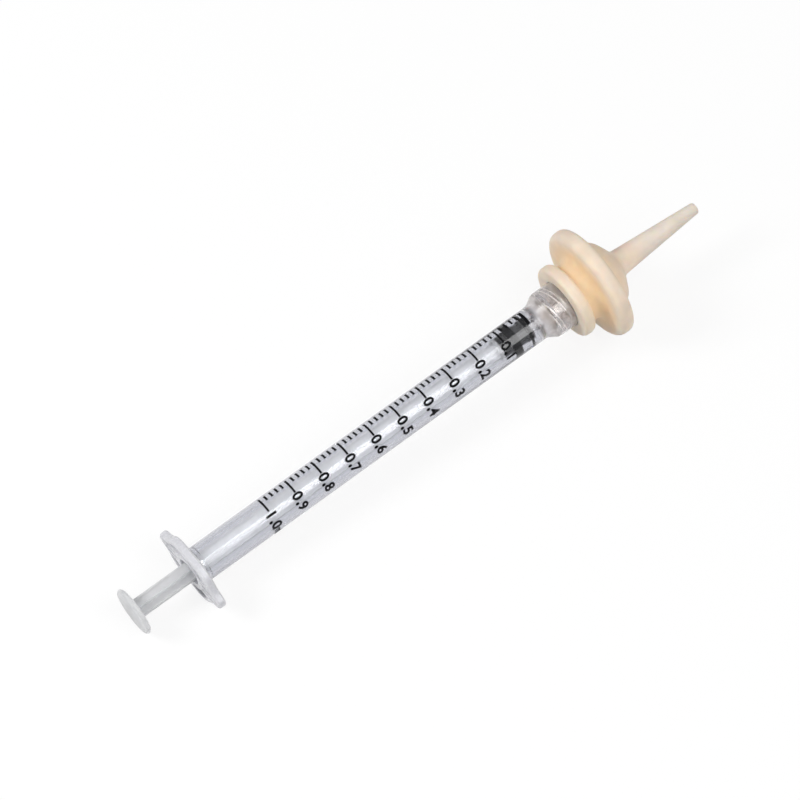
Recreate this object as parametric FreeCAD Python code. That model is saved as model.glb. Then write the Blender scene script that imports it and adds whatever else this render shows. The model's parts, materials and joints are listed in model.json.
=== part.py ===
import FreeCAD, Part
import math
import os

from FreeCAD import Vector

# All sizes are in millimetres. The syringe is laid out along X from the flange's back face, with
# its nipple towards +X and the flange's wings along Y, then set down as it comes to rest.

# Barrel tube
bore_diameter = 4.7
barrel_wall = 1.0
scale_offset = 15.4
scale_length = 57.64
shoulder_wall = 2.15
lead_in_depth = 0.8
lead_in_step = 0.3
bead_height = 0.1
bead_width = 0.8
bead_offset = 2.6

# Finger flange
flange_thickness = 1.6
flange_span = 17.7
flange_breadth = 11.5
flange_flat_width = 3.2
flange_side_radius = 5.0
wing_tip_radius = 1.3
wing_hollow_radius = 4.5
flange_edge_break = 0.3
flange_root_break = 0.4
flange_rim = 0.9
pocket_depth = 0.5
hub_clearance = 0.5
grip_rib_width = 0.5
grip_rib_pitch = 1.9
grip_rib_count = 3

# Locking collar and tapered tip
collar_diameter = 9.0
collar_wall = 0.5
flare_length = 2.0
flare_root_radius = 1.2
flare_lip_radius = 1.0
collar_length = 6.6
collar_floor_depth = 0.8
collar_edge_break = 0.15
tip_diameter = 3.92
tip_taper = 0.06
tip_projection = 2.1
tip_edge_break = 0.2
channel_diameter = 1.9

# Stopper
stopper_clearance = 0.02
stopper_front_clearance = 0.05
nose_rise = 0.4
front_rib_width = 0.75
front_rib_gap = 2.15
rear_rib_width = 1.8
rear_neck_length = 1.6
waist_depth = 0.35
rib_edge_break = 0.12
seat_lip_length = 1.1

# Plunger rod
rod_clearance = 0.65
rod_rib_thickness = 1.1
disc_clearance = 0.3
pressure_disc_thickness = 0.8
disc_edge_break = 0.12
seat_wall = 0.6
head_barb = 0.5
head_length = 2.4
head_clearance = 0.05
stopper_stop_gap = 0.3
pad_diameter = 9.1
pad_thickness = 0.9
pad_edge_break = 0.25
pad_standoff = 11.4

# Nipple
nipple_depth = 2.85
socket_clearance = 0.03
socket_end_gap = 0.05
seat_step = 1.0
cuff_wall = 1.27
cuff_flange_diameter = 14.4
cuff_flange_thickness = 2.5
waist_length = 2.65
shield_diameter = 21.8
shield_thickness = 3.0
shield_edge_break = 0.45
cuff_edge_break = 0.4
waist_root_break = 0.35
dome_diameter = 14.6
dome_height = 4.4
dome_shoulder_height = 2.1
dome_shoulder_inset = 0.7
dome_corner_radius = 3.0
dome_wall = 1.6
teat_length = 18.05
teat_root_diameter = 5.0
teat_tip_diameter = 2.2
teat_root_break = 0.6
teat_tip_break = 0.3
milk_channel_diameter = 1.0

# Places along the axis, worked out from the sizes
bore_radius = bore_diameter / 2
barrel_radius = bore_radius + barrel_wall
zero_line = flange_thickness + scale_offset + scale_length
flare_start = zero_line + shoulder_wall
collar_start = flare_start + flare_length
collar_end = collar_start + collar_length
tip_end = collar_end + tip_projection
collar_floor = collar_start + collar_floor_depth
stopper_front = zero_line + nose_rise
stopper_radius = bore_radius - stopper_clearance
stopper_waist = stopper_radius - waist_depth
head_radius = stopper_waist - seat_wall - head_clearance
neck_radius = head_radius - head_barb
rear_rib_front = zero_line - front_rib_width - front_rib_gap
rear_rib_back = rear_rib_front - rear_rib_width
stopper_back = rear_rib_back - rear_neck_length
nipple_back = collar_end - nipple_depth
nipple_seat = collar_end + socket_end_gap
cuff_front = nipple_back + cuff_flange_thickness
shield_back = cuff_front + waist_length
shield_front = shield_back + shield_thickness
dome_top = shield_front + dome_height
teat_end = dome_top + teat_length
half_breadth = flange_breadth / 2
half_span = flange_span / 2
bead_end = bead_offset + bead_width / 2
stopper_travel = rear_rib_back - bead_end - stopper_stop_gap


def half_section(corners):
    """Face through (x, r, ease) corners, each left sharp, broken by a flat or, if marked, rounded."""
    points = [Vector(x, 0, r) for x, r, *ease in corners]
    edges = []
    ends = []
    for i, (x, r, ease, *rounded) in enumerate(corners):
        here = points[i]
        to_last = (points[i - 1] - here).normalize()
        to_next = (points[(i + 1) % len(points)] - here).normalize()
        half_angle = to_last.getAngle(to_next) / 2
        reach = ease / math.tan(half_angle) if rounded else ease
        start, end = here + to_last * reach, here + to_next * reach
        ends.append((start, end))
        if rounded:
            middle = (to_last + to_next).normalize()
            nearest = here + middle * (ease / math.sin(half_angle) - ease)
            edges.append(Part.Arc(start, nearest, end).toShape())
        elif ease:
            edges.append(Part.LineSegment(start, end).toShape())
    for i, (start, end) in enumerate(ends):
        edges.append(Part.LineSegment(end, ends[(i + 1) % len(ends)][0]).toShape())
    return Part.Face(Part.Wire(Part.__sortEdges__(edges)))


def turned(corners):
    """Solid turned about the X axis from a half section."""
    return half_section(corners).revolve(Vector(0, 0, 0), Vector(1, 0, 0), 360)


def flange_outline(inset):
    """Oval with flats on its long sides and an ear at each end, all its arcs tangent."""
    side_radius = flange_side_radius - inset
    tip_radius = wing_tip_radius - inset
    hollow_radius = wing_hollow_radius + inset
    side_y = flange_flat_width / 2
    side_z = half_breadth - flange_side_radius
    tip_y = half_span - wing_tip_radius
    base = math.hypot(tip_y - side_y, side_z)
    side_reach = side_radius + hollow_radius
    tip_reach = tip_radius + hollow_radius
    turn = math.acos((side_reach ** 2 + base ** 2 - tip_reach ** 2) / (2 * side_reach * base))
    side = Vector(0, side_y, side_z)
    tip = Vector(0, tip_y, 0)
    angle = turn - math.atan2(side_z, tip_y - side_y)
    hollow = side + Vector(0, math.cos(angle), math.sin(angle)) * side_reach
    to_side = (side - hollow).normalize()
    to_tip = (tip - hollow).normalize()
    crown = side + Vector(0, 0, side_radius)
    shoulder = side - to_side * side_radius
    ear = tip - to_tip * tip_radius
    side_middle = side + (Vector(0, 0, 1) - to_side).normalize() * side_radius
    hollow_middle = hollow + (to_side + to_tip).normalize() * hollow_radius
    edges = []
    for y_sign, z_sign in ((1, 1), (1, -1), (-1, -1), (-1, 1)):
        for arc in ((crown, side_middle, shoulder), (shoulder, hollow_middle, ear)):
            edges.append(Part.Arc(*[Vector(0, p.y * y_sign, p.z * z_sign) for p in arc]).toShape())
    for sign in (1, -1):
        tip_end = Vector(0, sign * (tip_y + tip_radius), 0)
        ends = [Vector(0, sign * ear.y, z) for z in (ear.z, -ear.z)]
        edges.append(Part.Arc(ends[0], tip_end, ends[1]).toShape())
        flat = [Vector(0, y, sign * crown.z) for y in (-side_y, side_y)]
        edges.append(Part.LineSegment(*flat).toShape())
    return Part.Face(Part.Wire(Part.__sortEdges__(edges)))


def make_flange():
    """Oval plate with broken edges and a ribbed pocket in the back of each wing."""
    plate = flange_outline(0).extrude(Vector(flange_thickness, 0, 0))
    rims = [e for e in plate.Edges if abs(e.BoundBox.XLength) < 1e-6]
    plate = plate.makeChamfer(flange_edge_break, rims)
    pockets = flange_outline(flange_rim).extrude(Vector(pocket_depth, 0, 0))
    hub_radius = barrel_radius + hub_clearance
    pockets = pockets.cut(Part.makeCylinder(hub_radius, flange_thickness, Vector(0, 0, 0), Vector(1, 0, 0)))
    for i in range(grip_rib_count):
        z = (i - (grip_rib_count - 1) / 2) * grip_rib_pitch - grip_rib_width / 2
        corner = Vector(0, -half_span, z)
        pockets = pockets.cut(Part.makeBox(flange_thickness, flange_span, grip_rib_width, corner))
    return plate.cut(pockets)


def make_barrel():
    """Tube, flange, flared shoulder, locking collar and tapered tip in one moulding."""
    collar_radius = collar_diameter / 2
    channel_radius = channel_diameter / 2
    tube = turned([
        (flange_thickness / 2, 0, 0),
        (flange_thickness / 2, barrel_radius + flange_root_break, 0),
        (flange_thickness, barrel_radius + flange_root_break, 0),
        (flange_thickness + flange_root_break, barrel_radius, 0),
        (flare_start, barrel_radius, flare_root_radius, "rounded"),
        (collar_start, collar_radius, flare_lip_radius, "rounded"),
        (collar_end, collar_radius, collar_edge_break),
        (collar_end, 0, 0),
    ])
    tip_radius = tip_diameter / 2
    tip_root_radius = tip_radius + (tip_end - collar_floor) * tip_taper / 2
    cone = turned([
        (collar_floor, 0, 0),
        (collar_floor, tip_root_radius, 0),
        (tip_end, tip_radius, tip_edge_break),
        (tip_end, 0, 0),
    ])
    cup_radius = collar_radius - collar_wall
    cup = turned([
        (collar_floor, 0, 0),
        (collar_floor, cup_radius, 0),
        (collar_end, cup_radius, 0),
        (collar_end, 0, 0),
    ])
    bead_start = bead_offset - bead_width / 2
    bead_radius = bore_radius - bead_height
    bore = turned([
        (0, 0, 0),
        (0, bore_radius + lead_in_step, 0),
        (lead_in_depth, bore_radius, 0),
        (bead_start, bore_radius, 0),
        (bead_start + bead_height, bead_radius, 0),
        (bead_end - bead_height, bead_radius, 0),
        (bead_end, bore_radius, 0),
        (zero_line + stopper_front_clearance, bore_radius, 0),
        (stopper_front + stopper_front_clearance, channel_radius, 0),
        (tip_end, channel_radius, 0),
        (tip_end, 0, 0),
    ])
    body = tube.cut(cup).fuse([cone, make_flange()])
    return body.cut(bore).removeSplitter()


def make_stopper():
    """Rubber plug with two sealing ribs, a shallow nose and an undercut seat for the rod's head."""
    plug = turned([
        (stopper_back, 0, 0),
        (stopper_back, stopper_waist, rib_edge_break),
        (rear_rib_back, stopper_waist, 0),
        (rear_rib_back, stopper_radius, rib_edge_break),
        (rear_rib_front, stopper_radius, rib_edge_break),
        (rear_rib_front, stopper_waist, 0),
        (zero_line - front_rib_width, stopper_waist, 0),
        (zero_line - front_rib_width, stopper_radius, rib_edge_break),
        (zero_line, stopper_radius, rib_edge_break),
        (stopper_front, channel_diameter / 2, 0),
        (stopper_front, 0, 0),
    ])
    entry_radius = neck_radius + head_clearance
    seat_radius = head_radius + head_clearance
    seat_back = stopper_back + seat_lip_length
    seat_front = seat_back + head_length + 2 * head_clearance
    seat = turned([
        (stopper_back, 0, 0),
        (stopper_back, entry_radius, 0),
        (seat_back, entry_radius, 0),
        (seat_back, seat_radius, 0),
        (seat_front, entry_radius, 0),
        (seat_front, 0, 0),
    ])
    return plug.cut(seat)


def make_rod():
    """Thumb pad, cross-shaped rod, pressure disc and barbed head in one moulding."""
    pad_back = -pad_standoff - pad_thickness
    pad_front = -pad_standoff
    pad = turned([
        (pad_back, 0, 0),
        (pad_back, pad_diameter / 2, pad_edge_break),
        (pad_front, pad_diameter / 2, pad_edge_break),
        (pad_front, 0, 0),
    ])
    disc_front = stopper_back - head_clearance
    disc_back = disc_front - pressure_disc_thickness
    blade_start = pad_front - pad_thickness / 2
    blade_length = disc_back + pressure_disc_thickness / 2 - blade_start
    half_width = bore_radius - rod_clearance
    half_rib = rod_rib_thickness / 2
    disc_radius = bore_radius - disc_clearance
    flat_corner = Vector(blade_start, -half_width, -half_rib)
    flat = Part.makeBox(blade_length, 2 * half_width, rod_rib_thickness, flat_corner)
    upright_corner = Vector(blade_start, -half_rib, -half_width)
    upright = Part.makeBox(blade_length, rod_rib_thickness, 2 * half_width, upright_corner)
    head_back = stopper_back + seat_lip_length + head_clearance
    head = turned([
        (disc_back, 0, 0),
        (disc_back, disc_radius, disc_edge_break),
        (disc_front, disc_radius, disc_edge_break),
        (disc_front, neck_radius, 0),
        (head_back, neck_radius, 0),
        (head_back, head_radius, disc_edge_break),
        (head_back + head_length, neck_radius, disc_edge_break),
        (head_back + head_length, 0, 0),
    ])
    return pad.fuse([flat, upright, head]).removeSplitter()


def make_nipple():
    """Silicone cuff, shield disc, dome and teat, hollow from the mouth to the teat's hole."""
    cuff_radius = collar_diameter / 2 + socket_clearance + cuff_wall
    shield_radius = shield_diameter / 2
    dome_radius = dome_diameter / 2
    shoulder = shield_front + dome_shoulder_height
    skin = turned([
        (nipple_back, 0, 0),
        (nipple_back, cuff_flange_diameter / 2, cuff_edge_break),
        (cuff_front, cuff_flange_diameter / 2, cuff_edge_break),
        (cuff_front, cuff_radius, waist_root_break),
        (shield_back, cuff_radius, waist_root_break),
        (shield_back, shield_radius, shield_edge_break),
        (shield_front, shield_radius, shield_edge_break),
        (shield_front, dome_radius, 0),
        (shoulder, dome_radius - dome_shoulder_inset, dome_corner_radius, "rounded"),
        (dome_top, teat_root_diameter / 2, teat_root_break),
        (teat_end, teat_tip_diameter / 2, teat_tip_break),
        (teat_end, 0, 0),
    ])
    socket_radius = collar_diameter / 2 + socket_clearance
    chamber_radius = collar_diameter / 2 - seat_step
    milk_radius = milk_channel_diameter / 2
    hollow = turned([
        (nipple_back, 0, 0),
        (nipple_back, socket_radius, 0),
        (nipple_seat, socket_radius, 0),
        (nipple_seat, chamber_radius, 0),
        (shoulder - dome_wall, chamber_radius, 0),
        (dome_top - dome_wall, milk_radius, 0),
        (teat_end, milk_radius, 0),
        (teat_end, 0, 0),
    ])
    return skin.cut(hollow)


def rest_tilt():
    """Angle by which the axis climbs towards +X when the shield and the flange both touch the floor."""
    run = shield_back + shield_edge_break - flange_edge_break
    return math.atan2(shield_diameter / 2 - half_breadth, run)


def set_down(shapes):
    """Tilt the laid-out pieces to rest, then put the origin under the middle of their box."""
    tilt = math.degrees(rest_tilt())
    for shape in shapes.values():
        shape.rotate(Vector(0, 0, 0), Vector(0, 1, 0), -tilt)
    box = Part.makeCompound(list(shapes.values())).optimalBoundingBox(False, False)
    move = Vector(-box.Center.x, -box.Center.y, -box.ZMin)
    for shape in shapes.values():
        shape.translate(move)
    return tilt, move


def main():
    shapes = {
        "barrel": make_barrel(),
        "plunger_rod": make_rod(),
        "plunger_stopper": make_stopper(),
        "nipple": make_nipple(),
    }
    tilt, move = set_down(shapes)
    os.makedirs("parts", exist_ok=True)
    for name, shape in shapes.items():
        shape.exportStep("parts/" + name + ".step")
        print(name, "solids", len(shape.Solids), "valid", shape.isValid(), "mm3", round(shape.Volume, 2))
    print("tilt", round(tilt, 4), "move", round(move.x, 4), round(move.y, 4), round(move.z, 4))
    print("zero line", round(zero_line, 3), "collar", round(collar_start, 3), round(collar_end, 3))
    print("nipple", round(nipple_back, 3), round(teat_end, 3), "stopper back", round(stopper_back, 3))


main()
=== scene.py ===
import json
import math

import bmesh
import bpy
from mathutils import Matrix, Quaternion, Vector


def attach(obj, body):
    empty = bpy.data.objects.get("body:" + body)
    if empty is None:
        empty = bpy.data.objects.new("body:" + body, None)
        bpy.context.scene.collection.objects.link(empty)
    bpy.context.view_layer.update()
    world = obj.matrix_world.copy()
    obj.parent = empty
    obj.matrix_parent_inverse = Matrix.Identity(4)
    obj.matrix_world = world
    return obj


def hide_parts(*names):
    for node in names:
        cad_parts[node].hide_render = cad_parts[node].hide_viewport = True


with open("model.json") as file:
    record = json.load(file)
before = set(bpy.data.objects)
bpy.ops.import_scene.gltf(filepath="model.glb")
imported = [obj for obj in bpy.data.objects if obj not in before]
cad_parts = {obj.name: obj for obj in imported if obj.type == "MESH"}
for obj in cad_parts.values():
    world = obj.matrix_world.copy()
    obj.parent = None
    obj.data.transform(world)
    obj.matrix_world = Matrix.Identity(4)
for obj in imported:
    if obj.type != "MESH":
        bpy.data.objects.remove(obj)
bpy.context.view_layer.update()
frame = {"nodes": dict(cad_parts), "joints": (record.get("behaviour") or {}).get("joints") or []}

mm = 0.001
white = (1, 1, 1, 1)
origin = (0, 0, 0)
alongX = (1, 0, 0)
samePoint = 1e-5  # in mm, as the next two are
onRing = 1e-4
onPlane = 1e-6
midNoise = (0.3, 0.7)  # most of a noise's values lie in this span

# the syringe's own axes: x runs from the flange's back face to the nipple, wings along y, all in mm
stopperBack = 68.34
zeroLine = 74.64
slide = next(j for j in frame["joints"] if j["name"] == "plunger_slide")
hinge = next(j for j in frame["joints"] if j["name"] == "rod_turn")
forward = -Vector(slide["axis"])
axisTilt = math.atan2(forward.z, forward.x)
turnUp = Matrix.Rotation(-axisTilt, 4, "Y")
flangeBack = Vector(hinge["pos_m"]) - forward * stopperBack * mm
onAxis = Matrix.Translation(flangeBack) @ turnUp @ Matrix.Scale(mm, 4)


# an output socket that can be added, multiplied and so on like a number
class Wire:
    def __init__(self, graph, socket):
        self.graph = graph
        self.socket = socket

    def maths(self, operation, *terms):
        return self.graph.add("ShaderNodeMath", {"operation": operation}, dict(enumerate(terms)))

    def __add__(self, other):
        return self.maths("ADD", self, other)

    __radd__ = __add__

    def __sub__(self, other):
        return self.maths("SUBTRACT", self, other)

    def __rsub__(self, other):
        return self.maths("SUBTRACT", other, self)

    def __mul__(self, other):
        return self.maths("MULTIPLY", self, other)

    __rmul__ = __mul__

    def __pow__(self, other):
        return self.maths("POWER", self, other)

    def capped(self, most):
        return self.maths("MINIMUM", self, most)


class Graph:
    def __init__(self, tree):
        self.tree = tree
        self.tree.nodes.clear()

    def add(self, kind, settings=None, values=None, output=0):
        node = self.tree.nodes.new(kind)
        for key, value in (settings or {}).items():
            setattr(node, key, value)
        for key, value in (values or {}).items():
            if isinstance(value, Wire):
                self.tree.links.new(value.socket, node.inputs[key])
            else:
                node.inputs[key].default_value = value
        return Wire(self, node.outputs[output]) if len(node.outputs) else None

    def syringeCoords(self):
        where = self.add("ShaderNodeTexCoord", output="Object")
        return self.add("ShaderNodeMapping", {"vector_type": "TEXTURE"}, {
            "Vector": where, "Location": flangeBack, "Rotation": (0, -axisTilt, 0), "Scale": (mm, mm, mm)})

    def stretched(self, coords, scale):
        return self.add("ShaderNodeVectorMath", {"operation": "MULTIPLY"}, {0: coords, 1: scale})

    def alongAxis(self, coords):
        return self.add("ShaderNodeSeparateXYZ", None, {0: coords})

    def offAxis(self, coords):
        across = self.stretched(coords, (0, 1, 1))
        return self.add("ShaderNodeVectorMath", {"operation": "LENGTH"}, {0: across}, output="Value")

    def noise(self, coords, scale, detail=3.0, roughness=0.5):
        return self.add("ShaderNodeTexNoise", None, {
            "Vector": coords, "Scale": scale, "Detail": detail, "Roughness": roughness})

    def ranged(self, value, span, target=(0.0, 1.0), shape="SMOOTHSTEP"):
        return self.add("ShaderNodeMapRange", {"interpolation_type": shape}, {
            "Value": value, "From Min": span[0], "From Max": span[1],
            "To Min": target[0], "To Max": target[1]})

    def fading(self, value, span):
        return self.ranged(value, span, (1.0, 0.0))

    def blendColours(self, factor, first, second, how="MIX"):
        return self.add("ShaderNodeMix", {"data_type": "RGBA", "blend_type": how},
                        {0: factor, 6: first, 7: second}, output=2)

    def layered(self, colour, *layers):
        for factor, tint in layers:
            colour = self.blendColours(factor, colour, tint)
        return colour

    def grey(self, tone):
        return self.add("ShaderNodeCombineColor", None, {0: tone, 1: tone, 2: tone})

    def shaded(self, colour, tone):
        return self.blendColours(1.0, colour, self.grey(tone), "MULTIPLY")

    def bump(self, height, strength, distance):
        return self.add("ShaderNodeBump", None, {
            "Height": height, "Strength": strength, "Distance": distance})

    def principled(self, values):
        return self.add("ShaderNodeBsdfPrincipled", None, values)

    def mixShaders(self, factor, first, second):
        return self.add("ShaderNodeMixShader", None, {0: factor, 1: first, 2: second})


def newMaterial(name):
    material = bpy.data.materials.new(name)
    material.use_nodes = True
    return material, Graph(material.node_tree)


def finishMaterial(graph, surface):
    graph.add("ShaderNodeOutputMaterial", None, {"Surface": surface})


# how much light wanders inside a piece, and how far in metres for red, green and blue
def lightInside(weight, reach):
    return {"Subsurface Weight": weight, "Subsurface Radius": reach, "Subsurface Scale": 1.0}


def wear(piece, material):
    piece.data.materials.clear()
    piece.data.materials.append(material)


def linked(name, data):
    thing = bpy.data.objects.new(name, data)
    bpy.context.scene.collection.objects.link(thing)
    return thing


def toObject(bm, name, smoothAngle):
    bmesh.ops.remove_doubles(bm, verts=bm.verts, dist=samePoint)
    bmesh.ops.recalc_face_normals(bm, faces=bm.faces)
    bmesh.ops.transform(bm, matrix=onAxis, verts=bm.verts)
    for face in bm.faces:
        face.smooth = True
    mesh = bpy.data.meshes.new(name)
    bm.to_mesh(mesh)
    bm.free()
    piece = linked(name, mesh)
    mesh.set_sharp_from_angle(angle=math.radians(smoothAngle))
    return piece


# spins a half section of (x, r, rounding) corners about the syringe's axis and rounds its rings
def turned(name, corners, steps, segments, smoothAngle):
    bm = bmesh.new()
    chain = [bm.verts.new((x, 0, r)) for x, r, rounding in corners]
    edges = [bm.edges.new(pair) for pair in zip(chain, chain[1:] + chain[:1])]
    bmesh.ops.spin(bm, geom=chain + edges, cent=origin, axis=alongX, dvec=origin,
                   angle=2 * math.pi, steps=steps, use_merge=True, use_duplicate=False)
    bmesh.ops.remove_doubles(bm, verts=bm.verts, dist=samePoint)
    bmesh.ops.recalc_face_normals(bm, faces=bm.faces)
    for x, r, rounding in corners:
        if rounding == 0:
            continue
        onCorner = {v for v in bm.verts
                    if abs(v.co.x - x) < onRing and abs(v.co.yz.length - r) < onRing}
        ring = [e for e in bm.edges if onCorner.issuperset(e.verts)]
        bmesh.ops.bevel(bm, geom=ring, offset=rounding, offset_type="OFFSET", segments=segments, profile=0.5,
                        affect="EDGES", material=-1, clamp_overlap=True)
    return toObject(bm, name, smoothAngle)


# places along and off the axis are in mm; a noise has its scale and, where given, detail and roughness
clearLook = {
    "refraction": 1.49,
    "tubeTint": (0.95, 0.955, 0.975, 1),
    # warm collar tint: painted reflection of the cream silicone beside the collar
    "collarCreamReflectionTint": (0.94, 0.90, 0.88, 1),
    # cream tint at the collar's mouth: painted glow of the silicone around it
    "mouthGlowTint": (0.95, 0.90, 0.86, 1),
    "hazeColour": (0.60, 0.605, 0.645, 1),
    "flangeColour": (0.76, 0.76, 0.80, 1),
    # warm collar haze: the collar's own frosting, tinted with painted reflection of the cream silicone
    "collarHazeWithCreamReflection": (0.74, 0.69, 0.665, 1),
    # cream haze at the collar's mouth: painted glow of the silicone around it
    "mouthGlowColour": (0.79, 0.73, 0.68, 1),
    "tubeHaze": 0.02,
    # haze that grows at grazing angles: painted shade for the tube's darker rims
    "rimShadeHaze": 0.6,
    "rimShadePower": 4.0,
    "flangeHaze": 0.86,
    "flareHaze": 0.4,
    # extra haze at the mouth: painted glow that also covers the shade of the dark socket
    "mouthGlowHaze": 0.2,
    "mostHaze": 0.9,
    "flangeEnds": (1.55, 2.3),
    "flareStarts": (75.6, 76.8),
    "flareEnds": (78.2, 79.0),
    "collarStarts": (76.0, 77.8),
    "mouthGlowStarts": (80.8, 82.6),
    "mouthGlowHazeStarts": (79.6, 82.0),
    "outerSkin": (2.5, 3.1),
    "specks": (2.3, 4, 0.6),
    "speckSpan": (0.35, 0.75),
    "roughness": (0.1, 0.14),
    "collarRoughness": 0.03,
    "hazeRoughness": 0.15,
    "hazeSpan": (0.3, 0.8),
    "hazeTone": (0.96, 1.03),
    "hazeGlow": (0.6, (0.0015, 0.0015, 0.0015)),
    "flowStretch": (0.12, 1.4, 1.4),
    "flowBump": (0.02, 0.00002),
}


def makeClearPlastic():
    material, graph = newMaterial("clearPlastic")
    look = clearLook
    coords = graph.syringeCoords()
    x = graph.alongAxis(coords)
    specks = graph.noise(coords, *look["specks"])
    flowLines = graph.noise(graph.stretched(coords, look["flowStretch"]), 1.0)
    ripple = graph.bump(flowLines, *look["flowBump"])
    atFlange = graph.fading(x, look["flangeEnds"])
    atFlare = graph.ranged(x, look["flareStarts"]) * graph.fading(x, look["flareEnds"])
    atCollar = graph.ranged(x, look["collarStarts"])
    # the collar's end inside the cuff is tinted cream: painted glow of the silicone
    atMouthGlow = graph.ranged(x, look["mouthGlowStarts"])
    roughness = graph.ranged(specks, look["speckSpan"], look["roughness"])
    # the collar's warm tint is painted reflection of the cream silicone
    tint = graph.layered(look["tubeTint"], (atCollar, look["collarCreamReflectionTint"]), (atMouthGlow, look["mouthGlowTint"]))
    clear = graph.principled({
        "Base Color": tint, "Roughness": roughness + atCollar * look["collarRoughness"],
        "IOR": look["refraction"], "Transmission Weight": 1.0, "Normal": ripple})

    # the collar's warm haze colour is partly painted reflection of the cream silicone
    hazeColour = graph.layered(look["hazeColour"], (atCollar, look["collarHazeWithCreamReflection"]),
                               (atMouthGlow, look["mouthGlowColour"]), (atFlange, look["flangeColour"]))
    hazeTone = graph.ranged(specks, look["hazeSpan"], look["hazeTone"])
    haze = graph.principled({
        "Base Color": graph.shaded(hazeColour, hazeTone), "Roughness": roughness + look["hazeRoughness"],
        "IOR": look["refraction"], "Normal": ripple, **lightInside(*look["hazeGlow"])})

    outside = graph.ranged(graph.offAxis(coords), look["outerSkin"])
    facing = graph.add("ShaderNodeLayerWeight", None, {"Blend": 0.5}, output="Facing")
    # haze grows where the outer wall is seen edge-on: painted shade for the tube's darker rims
    rim = facing ** look["rimShadePower"] * look["rimShadeHaze"] * outside
    # the mix holds the plastic's own haze and painted light: the rims' shade and the mouth's glow
    hazeAndPaintedLight = atFlange * look["flangeHaze"] + atFlare * look["flareHaze"]
    # more haze at the mouth: painted glow, lightening the shade of the socket seen through the collar
    hazeAndPaintedLight = hazeAndPaintedLight + graph.ranged(x, look["mouthGlowHazeStarts"]) * look["mouthGlowHaze"]
    hazeAndPaintedLight = (hazeAndPaintedLight + rim + look["tubeHaze"]).capped(look["mostHaze"])
    finishMaterial(graph, graph.mixShaders(hazeAndPaintedLight, clear, haze))
    return material


# the thread is real, but its bright plastic is a painted highlight: light lines for the glints on its flanks
threadGlintLook = {
    "refraction": 1.49,
    "darker": (0.88, 0.86, 0.85, 1),
    "lighter": (0.96, 0.95, 0.94, 1),
    "roughness": (0.2, 0.3),
    "grain": 5.0,
    "glow": (0.5, (0.0008, 0.0008, 0.0008)),
}


def makeThreadPlastic():
    material, graph = newMaterial("threadGlintPlastic")
    look = threadGlintLook
    grain = graph.noise(graph.syringeCoords(), look["grain"])
    finishMaterial(graph, graph.principled({
        "Base Color": graph.blendColours(graph.ranged(grain, midNoise), look["darker"], look["lighter"]),
        "Roughness": graph.ranged(grain, midNoise, look["roughness"]),
        "IOR": look["refraction"], **lightInside(*look["glow"])}))
    return material


milkyLook = {
    "refraction": 1.49,
    "colour": (0.62, 0.63, 0.655, 1),
    "clouds": 0.35,
    "cloudTone": (0.94, 1.05),
    "grain": (9.0, 2),
    "roughness": (0.32, 0.46),
    "drawStretch": (0.05, 3.0, 3.0),
    "drawDetail": 2,
    "drawShare": 0.6,
    "bump": (0.12, 0.00002),
    "glow": (1.0, (0.01, 0.01, 0.01)),
}


def makeMilkyPlastic():
    material, graph = newMaterial("milkyPlastic")
    look = milkyLook
    coords = graph.syringeCoords()
    clouds = graph.noise(coords, look["clouds"])
    grain = graph.noise(coords, *look["grain"])
    drawLines = graph.noise(graph.stretched(coords, look["drawStretch"]), 1.0, look["drawDetail"])
    height = drawLines * look["drawShare"] + grain * (1 - look["drawShare"])
    finishMaterial(graph, graph.principled({
        "Base Color": graph.shaded(look["colour"], graph.ranged(clouds, midNoise, look["cloudTone"])),
        "Roughness": graph.ranged(grain, midNoise, look["roughness"]),
        "IOR": look["refraction"], "Normal": graph.bump(height, *look["bump"]),
        **lightInside(*look["glow"])}))
    return material


rubberLook = {
    "refraction": 1.5,
    "shine": 0.12,
    "black": (0.003, 0.003, 0.004, 1),
    "bloomed": (0.010, 0.010, 0.012, 1),
    "bloom": 1.2,
    "bloomSpan": (0.45, 0.75),
    "grain": 14.0,
    "roughness": (0.38, 0.55),
    "bump": (0.3, 0.00003),
}


def makeBlackRubber():
    material, graph = newMaterial("blackRubber")
    look = rubberLook
    coords = graph.syringeCoords()
    grain = graph.noise(coords, look["grain"])
    bloom = graph.ranged(graph.noise(coords, look["bloom"]), look["bloomSpan"])
    finishMaterial(graph, graph.principled({
        "Base Color": graph.blendColours(bloom, look["black"], look["bloomed"]),
        "Roughness": graph.ranged(grain, midNoise, look["roughness"]),
        "IOR": look["refraction"], "Specular IOR Level": look["shine"],
        "Normal": graph.bump(grain, *look["bump"])}))
    return material


siliconeLook = {
    "refraction": 1.41,
    "shine": 0.3,
    "rim": (0.88, 0.75, 0.61, 1),
    # deeper orange in the fold between cuff and shield: painted warm shade of light bounced in the fold
    "foldShade": (0.92, 0.70, 0.46, 1),
    "dome": (0.96, 0.76, 0.58, 1),
    "teatRoot": (0.96, 0.79, 0.65, 1),
    "teat": (0.84, 0.75, 0.66, 1),
    "foldShadeStarts": (84.6, 85.6),
    "shieldBack": 87.7,
    "shieldSlope": 2.0,
    "shieldStarts": (7.0, 10.8),
    "domeStarts": (90.0, 90.9),
    "teatStarts": (94.4, 95.5),
    "teatFades": (96.0, 103.0),
    "clouds": (0.25, 4, 0.55),
    "cloudSpan": (0.35, 0.7),
    "cloudTone": (0.95, 1.04),
    "grain": 6.0,
    "roughness": (0.42, 0.56),
    "bump": (0.2, 0.00004),
    "glow": (0.5, (0.0016, 0.0010, 0.0005)),
}


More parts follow.
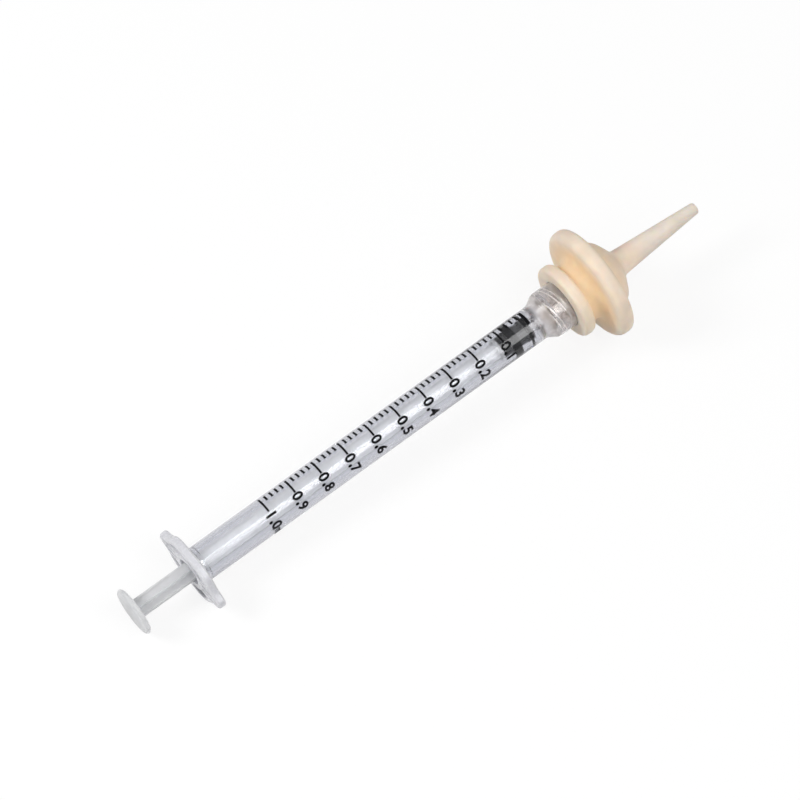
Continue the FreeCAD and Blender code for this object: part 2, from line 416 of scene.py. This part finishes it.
def makeCreamSilicone():
    material, graph = newMaterial("creamSilicone")
    look = siliconeLook
    coords = graph.syringeCoords()
    x = graph.alongAxis(coords)
    clouds = graph.noise(coords, *look["clouds"])
    grain = graph.noise(coords, look["grain"])
    # the fold's deeper orange runs from the cuff's front out along the shield's back until the rim colour
    # returns: painted warm shade
    pastWaist = graph.offAxis(coords) + (x - look["shieldBack"]) * look["shieldSlope"]
    colour = graph.layered(
        look["rim"],
        (graph.ranged(x, look["foldShadeStarts"]), look["foldShade"]),
        (graph.ranged(pastWaist, look["shieldStarts"]), look["rim"]),
        (graph.ranged(x, look["domeStarts"]), look["dome"]),
        (graph.ranged(x, look["teatStarts"]), look["teatRoot"]),
        (graph.ranged(x, look["teatFades"]), look["teat"]))
    finishMaterial(graph, graph.principled({
        "Base Color": graph.shaded(colour, graph.ranged(clouds, look["cloudSpan"], look["cloudTone"])),
        "Roughness": graph.ranged(grain, midNoise, look["roughness"]),
        "IOR": look["refraction"], "Specular IOR Level": look["shine"],
        "Normal": graph.bump(grain, *look["bump"]), **lightInside(*look["glow"])}))
    return material


inkLook = {
    "refraction": 1.5,
    "shine": 0.1,
    "full": (0.004, 0.004, 0.005, 1),
    "thin": (0.016, 0.016, 0.018, 1),
    "density": (7.0, 3, 0.6),
    "thinSpan": (0.45, 0.8),
    "roughness": (0.45, 0.7),
}


def makeScaleInk():
    material, graph = newMaterial("scaleInk")
    look = inkLook
    density = graph.noise(graph.syringeCoords(), *look["density"])
    finishMaterial(graph, graph.principled({
        "Base Color": graph.blendColours(graph.ranged(density, look["thinSpan"]), look["full"], look["thin"]),
        "Roughness": graph.ranged(density, midNoise, look["roughness"]),
        "IOR": look["refraction"], "Specular IOR Level": look["shine"]}))
    return material


clearPlastic = makeClearPlastic()
threadGlintPlastic = makeThreadPlastic()
milkyPlastic = makeMilkyPlastic()
blackRubber = makeBlackRubber()
creamSilicone = makeCreamSilicone()
scaleInk = makeScaleInk()
print("materials made")


barrelEdges = {
    "weldWithin": 0.002,
    "rounding": 0.22,
    "segments": 3,
    "sharperThan": 30,
}


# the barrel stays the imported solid, and only its sharp edges are softened
def dressBarrel():
    piece = frame["nodes"]["barrel"]
    wear(piece, clearPlastic)
    weld = piece.modifiers.new("weld", "WELD")
    weld.merge_threshold = barrelEdges["weldWithin"] * mm
    soften = piece.modifiers.new("soften", "BEVEL")
    soften.width = barrelEdges["rounding"] * mm
    soften.segments = barrelEdges["segments"]
    soften.limit_method = "ANGLE"
    soften.angle_limit = math.radians(barrelEdges["sharperThan"])
    soften.harden_normals = True


dressBarrel()
wear(frame["nodes"]["plunger_rod"], milkyPlastic)
print("barrel and rod dressed")


stopper = {
    "rearRib": (69.94, 71.74),
    "frontRib": (73.64, zeroLine),
    "frontEase": 0.03,
    "noseEnd": 75.04,
    "noseRadius": 0.95,
    "ribRadius": 2.365,
    "waistRadius": 1.98,
    "backRounding": 0.15,
    "ribRounding": 0.14,
    "noseRounding": 0.1,
    "seat": (69.44, 71.94),
    "entryRadius": 0.88,
    "seatRadius": 1.38,
    "steps": 96,
    "segments": 4,
    "smoothAngle": 40,
}


def makeStopper():
    s = stopper
    corners = [
        (stopperBack, s["waistRadius"], s["backRounding"]),
        (s["rearRib"][0], s["waistRadius"], 0),
        (s["rearRib"][0], s["ribRadius"], s["ribRounding"]),
        (s["rearRib"][1], s["ribRadius"], s["ribRounding"]),
        (s["rearRib"][1], s["waistRadius"], 0),
        (s["frontRib"][0], s["waistRadius"], 0),
        (s["frontRib"][0], s["ribRadius"], s["ribRounding"]),
        (s["frontRib"][1], s["ribRadius"] - s["frontEase"], s["ribRounding"]),
        (s["noseEnd"], s["noseRadius"], s["noseRounding"]),
        (s["noseEnd"], 0, 0),
        (s["seat"][1], 0, 0),
        (s["seat"][1], s["entryRadius"], 0),
        (s["seat"][0], s["seatRadius"], 0),
        (s["seat"][0], s["entryRadius"], 0),
        (stopperBack, s["entryRadius"], 0),
    ]
    piece = turned("stopperRubber", corners, s["steps"], s["segments"], s["smoothAngle"])
    wear(piece, blackRubber)
    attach(piece, "stopper")
    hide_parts("plunger_stopper")


makeStopper()
print("stopper made")


# places and radii of the half section's corners; of two roundings the rear edge's comes first
nipple = {
    "back": 82.54,
    "cuffRadius": 7.2,
    "cuffRoundings": (0.7, 1.1),
    "cuffFront": 85.04,
    "waistRadius": 5.8,
    "waistRoundings": (0.8, 1.6),
    "shieldBack": 87.69,
    "shieldRadius": 10.9,
    "shieldRoundings": (1.3, 1.0),
    "shieldFront": 90.69,
    "domeRadius": 7.3,
    "domeShoulder": (92.79, 6.6),
    "domeRoundings": (0.3, 1.6),
    "domeTop": 95.09,
    "teatRoot": 2.5,
    "teatRootRounding": 0.6,
    "teatEnd": 113.14,
    "teatTip": 1.1,
    "teatTipRounding": 0.35,
    "seat": 85.44,
    "seatRounding": 0.15,
    "socketRadius": 4.53,
    "socketRounding": 0.2,
    "chamberRadius": 3.5,
    "chamberEnd": 91.19,
    "chamberRounding": 0.4,
    "channelStart": 93.49,
    "channelRadius": 0.5,
    "channelRounding": 0.08,
    "steps": 128,
    "segments": 6,
    "smoothAngle": 60,
}


def makeNipple():
    n = nipple
    corners = [
        (n["back"], n["cuffRadius"], n["cuffRoundings"][0]),
        (n["cuffFront"], n["cuffRadius"], n["cuffRoundings"][1]),
        (n["cuffFront"], n["waistRadius"], n["waistRoundings"][0]),
        (n["shieldBack"], n["waistRadius"], n["waistRoundings"][1]),
        (n["shieldBack"], n["shieldRadius"], n["shieldRoundings"][0]),
        (n["shieldFront"], n["shieldRadius"], n["shieldRoundings"][1]),
        (n["shieldFront"], n["domeRadius"], n["domeRoundings"][0]),
        (*n["domeShoulder"], n["domeRoundings"][1]),
        (n["domeTop"], n["teatRoot"], n["teatRootRounding"]),
        (n["teatEnd"], n["teatTip"], n["teatTipRounding"]),
        (n["teatEnd"], n["channelRadius"], n["channelRounding"]),
        (n["channelStart"], n["channelRadius"], 0),
        (n["chamberEnd"], n["chamberRadius"], n["chamberRounding"]),
        (n["seat"], n["chamberRadius"], n["seatRounding"]),
        (n["seat"], n["socketRadius"], 0),
        (n["back"], n["socketRadius"], n["socketRounding"]),
    ]
    piece = turned("nippleSilicone", corners, n["steps"], n["segments"], n["smoothAngle"])
    wear(piece, creamSilicone)
    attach(piece, "nipple")
    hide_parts("nipple")


makeNipple()
print("nipple made")


# arcs are in degrees from the barrel's top towards -y, and the ink's thickness is all above inkRadius
scale = {
    "division": 1.1528,
    "tenths": 10,
    "perTenth": 5,
    "lineWidth": 0.40,
    "zeroWidth": 0.62,
    "start": -46.0,
    "minorEnd": -19.0,
    "majorEnd": 14.0,
    "lineCuts": 10,
    "inkRadius": 3.357,
    "inkThickness": 0.012,
    "digitHeight": 2.12,
    "firstDigit": (15.0, 38.0),
    "point": (38.5, 54.5),
    "secondDigit": (52.0, 77.0),
    "unit": (80.0, 116.0),
    "unitShare": 0.8,
    "strokeSwell": 0.034,
    "pointSwell": 0.08,
    "curveSteps": 4,
    "wordCuts": 8,
    "smoothAngle": 30,
}


# wraps a flat mesh onto the barrel: flat x runs along the axis, flat y is arc length towards -y
def wrapOnBarrel(bm):
    for vert in bm.verts:
        radius = scale["inkRadius"] + vert.co.z
        angle = vert.co.y / scale["inkRadius"]
        vert.co = Vector((vert.co.x, -radius * math.sin(angle), radius * math.cos(angle)))


def arcLength(degrees):
    return math.radians(degrees) * scale["inkRadius"]


def finishInk(bm, name):
    piece = toObject(bm, name, scale["smoothAngle"])
    wear(piece, scaleInk)
    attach(piece, "barrel")


def makeTicks():
    bm = bmesh.new()
    for i in range(scale["tenths"] * scale["perTenth"] + 1):
        x = zeroLine - i * scale["division"]
        low = arcLength(scale["start"])
        high = arcLength(scale["minorEnd" if i % scale["perTenth"] else "majorEnd"])
        middle = Vector((x, (low + high) / 2, scale["inkThickness"] / 2))
        size = Vector((scale["lineWidth" if i else "zeroWidth"], high - low, scale["inkThickness"]))
        block = Matrix.LocRotScale(middle, None, size)
        made = bmesh.ops.create_cube(bm, size=1.0, matrix=block)["verts"]
        longEdges = [e for e in {e for v in made for e in v.link_edges}
                     if abs(e.verts[0].co.y - e.verts[1].co.y) > (high - low) / 2]
        bmesh.ops.subdivide_edges(bm, edges=longEdges, cuts=scale["lineCuts"], use_grid_fill=True)
    wrapOnBarrel(bm)
    finishInk(bm, "scaleTicks")


def wordMesh(word, swell):
    curve = bpy.data.curves.new("word", "FONT")
    curve.body = word
    curve.size = 1.0
    curve.offset = swell
    curve.resolution_u = scale["curveSteps"]
    written = linked("word", curve)
    bpy.context.view_layer.update()
    mesh = bpy.data.meshes.new_from_object(written.evaluated_get(bpy.context.evaluated_depsgraph_get()))
    bpy.data.objects.remove(written)
    bm = bmesh.new()
    bm.from_mesh(mesh)
    bpy.data.meshes.remove(mesh)
    return bm


def extent(bm, k):
    places = [vert.co[k] for vert in bm.verts]
    return min(places), max(places)


def wordSize(bm):
    (left, right), (bottom, top) = extent(bm, 0), extent(bm, 1)
    return {"width": right - left, "height": top - bottom,
            "centre": (left + right) / 2, "middle": (bottom + top) / 2}


# lays a word round the barrel, centred in its arc, at the size that makes like fill the arc and height
def layWord(target, word, x, height, arc, like=None):
    bm = wordMesh(word, scale["pointSwell" if word == "." else "strokeSwell"])
    own = wordSize(bm)
    like = like or own
    across = arcLength(arc[1] - arc[0]) / like["width"]
    up = height / like["height"]
    middle = arcLength((arc[0] + arc[1]) / 2)
    for vert in bm.verts:
        flatX, flatY = vert.co.x, vert.co.y
        vert.co = Vector((x + (flatY - like["middle"]) * up, middle + (flatX - own["centre"]) * across, 0))
    low, high = extent(bm, 1)
    for i in range(1, scale["wordCuts"]):
        cut = (0, low + (high - low) * i / scale["wordCuts"], 0)
        bmesh.ops.bisect_plane(bm, geom=bm.verts[:] + bm.edges[:] + bm.faces[:], dist=onPlane,
                               plane_co=cut, plane_no=(0, 1, 0))
    raised = bmesh.ops.extrude_face_region(bm, geom=bm.faces[:])["geom"]
    bmesh.ops.translate(bm, vec=(0, 0, scale["inkThickness"]),
                        verts=[g for g in raised if isinstance(g, bmesh.types.BMVert)])
    wrapOnBarrel(bm)
    laid = bpy.data.meshes.new("laid")
    bm.to_mesh(laid)
    bm.free()
    target.from_mesh(laid)
    bpy.data.meshes.remove(laid)


def makeNumerals():
    bm = bmesh.new()
    zero = wordMesh("0", scale["strokeSwell"])
    asZero = wordSize(zero)
    zero.free()
    for tenth in range(1, scale["tenths"] + 1):
        x = zeroLine - tenth * scale["perTenth"] * scale["division"]
        whole, part = divmod(tenth, scale["tenths"])
        layWord(bm, str(whole), x, scale["digitHeight"], scale["firstDigit"], asZero)
        layWord(bm, ".", x, scale["digitHeight"], scale["point"], asZero)
        layWord(bm, str(part), x, scale["digitHeight"], scale["secondDigit"], asZero)
    layWord(bm, "mL", x, scale["digitHeight"] * scale["unitShare"], scale["unit"])
    finishInk(bm, "scaleNumerals")


makeTicks()
makeNumerals()
print("scale made")


# each thread start is drawn as the two lines of its flanks, thin ridges on the collar's inner wall
# the lines are bright: painted highlights for the glints on the thread's flanks
thread = {
    "lead": 5.4,
    "starts": 2,
    "turns": 0.95,
    "begin": 78.0,
    "flanks": 2,
    "flankSpacing": 0.75,
    "crest": 3.9,
    "root": 4.06,
    "crestWidth": 0.16,
    "rootWidth": 0.26,
    "firstAngle": -10.0,
    "stepsPerTurn": 64,
    "smoothAngle": 30,
}


def makeThread():
    t = thread
    bm = bmesh.new()
    steps = int(t["stepsPerTurn"] * t["turns"])
    half, base = t["crestWidth"] / 2, t["rootWidth"] / 2
    section = [(-base, t["root"]), (-half, t["crest"]), (half, t["crest"]), (base, t["root"])]
    for line in range(t["starts"] * t["flanks"]):
        start, flank = divmod(line, t["flanks"])
        angle = math.radians(t["firstAngle"]) + start * 2 * math.pi / t["starts"]
        chain = [bm.verts.new((t["begin"] + flank * t["flankSpacing"] + x, 0, r)) for x, r in section]
        face = bm.faces.new(chain)
        bmesh.ops.rotate(bm, cent=origin, matrix=Matrix.Rotation(angle, 3, "X"), verts=chain)
        bmesh.ops.spin(bm, geom=[face], cent=origin, axis=alongX, steps=steps,
                       dvec=(t["lead"] / t["stepsPerTurn"], 0, 0), angle=2 * math.pi * t["turns"])
    piece = toObject(bm, "collarThreadGlints", t["smoothAngle"])
    wear(piece, threadGlintPlastic)
    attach(piece, "barrel")


makeThread()
print("thread made")


# in metres; toward is each lamp's direction from the object, and its side along x comes first in size
studio = {
    "floorSize": 6.0,
    "ambient": 0.30,
    "skyThrough": 1.1,
    "floorBounce": 0.66,
    "floorShown": 1.0,
    "shadowShare": 0.15,
    # grey floor through plastic: painted shade for the floor shaded under the object
    "floorShadeThrough": (0.61, 0.615, 0.655, 1),
    "gloss": {"toward": (0.17, -0.487, 0.86), "distance": 0.5, "size": (0.22, 0.42), "power": 1.4},
    "front": {"toward": (0.16, -0.52, 0.84), "distance": 0.7, "size": (0.5, 0.5), "power": 2.4},
    "side": {"toward": (-0.62, 0.36, 0.70), "distance": 0.6, "size": (0.2, 0.2), "power": 1.85},
}


# the floor is white to the eye, a share lit so that the shadow shows, and greyer through plastic as painted
# shade
def makeFloor():
    bm = bmesh.new()
    bmesh.ops.create_grid(bm, x_segments=1, y_segments=1, size=studio["floorSize"] / 2)
    mesh = bpy.data.meshes.new("floor")
    bm.to_mesh(mesh)
    bm.free()
    floor = linked("floor", mesh)
    material, graph = newMaterial("paleFloor")
    direct = graph.add("ShaderNodeLightPath", output="Is Camera Ray")
    glossy = graph.add("ShaderNodeLightPath", output="Is Glossy Ray")
    through = graph.add("ShaderNodeLightPath", output="Is Transmission Ray")
    seen = (direct + glossy + through).capped(1.0)
    albedo = graph.ranged(direct, (0.0, 1.0), (studio["floorBounce"], studio["floorShown"]), "LINEAR")
    lit = graph.add("ShaderNodeBsdfDiffuse", None, {"Color": graph.grey(albedo)})
    # seen through plastic the floor is grey everywhere: painted shade for the floor shaded under the object
    tone = graph.blendColours(through, white, studio["floorShadeThrough"])
    bright = graph.add("ShaderNodeEmission", None, {"Color": tone, "Strength": 1.0})
    finishMaterial(graph, graph.mixShaders(seen - direct * studio["shadowShare"], lit, bright))
    wear(floor, material)


def makeSky():
    world = bpy.data.worlds.new("studio")
    bpy.context.scene.world = world
    world.use_nodes = True
    graph = Graph(world.node_tree)
    direct = graph.add("ShaderNodeLightPath", output="Is Camera Ray")
    through = graph.add("ShaderNodeLightPath", output="Is Transmission Ray")
    unseen = graph.ranged(through, (0.0, 1.0), (studio["ambient"], studio["skyThrough"]), "LINEAR")
    strength = direct + unseen * (1.0 - direct)
    graph.add("ShaderNodeOutputWorld", None, {
        "Surface": graph.add("ShaderNodeBackground", None, {"Color": white, "Strength": strength})})


# a lamp lights either matte surfaces or, where it is there for the highlights, glossy ones
def makeLamp(name, forHighlights=False):
    setting = studio[name]
    lamp = bpy.data.lights.new(name + "Lamp", "AREA")
    lamp.shape = "RECTANGLE"
    lamp.size, lamp.size_y = setting["size"]
    lamp.energy = setting["power"]
    holder = linked(name + "Lamp", lamp)
    toward = Vector(setting["toward"]).normalized()
    holder.location = toward * setting["distance"]
    side = (Vector(alongX) - toward * toward.x).normalized()
    holder.rotation_euler = Matrix((side, toward.cross(side), toward)).transposed().to_euler()
    holder.visible_diffuse = not forHighlights
    holder.visible_glossy = forHighlights


# place and aim in mm from the object's origin, the roll in degrees, clipping in metres
cameraView = {
    "place": (-230.147, -285.644, 718.966),
    "aim": (-1.4991, 3.3149, 8.0),
    "lens": 204.773,
    "sensor": 36,
    "roll": 0.6957,
    "clip": (0.05, 20),
}


def makeCamera():
    lens = bpy.data.cameras.new("camera")
    lens.lens = cameraView["lens"]
    lens.sensor_width = cameraView["sensor"]
    lens.clip_start, lens.clip_end = cameraView["clip"]
    camera = linked("camera", lens)
    place, aim = Vector(cameraView["place"]) * mm, Vector(cameraView["aim"]) * mm
    camera.location = place
    roll = Quaternion((0, 0, 1), math.radians(cameraView["roll"]))
    camera.rotation_mode = "QUATERNION"
    camera.rotation_quaternion = (aim - place).to_track_quat("-Z", "Y") @ roll
    bpy.context.scene.camera = camera


makeFloor()
makeSky()
makeLamp("gloss", forHighlights=True)
makeLamp("front")
makeLamp("side")
makeCamera()
bpy.context.scene.view_settings.view_transform = "Standard"
print("studio made")
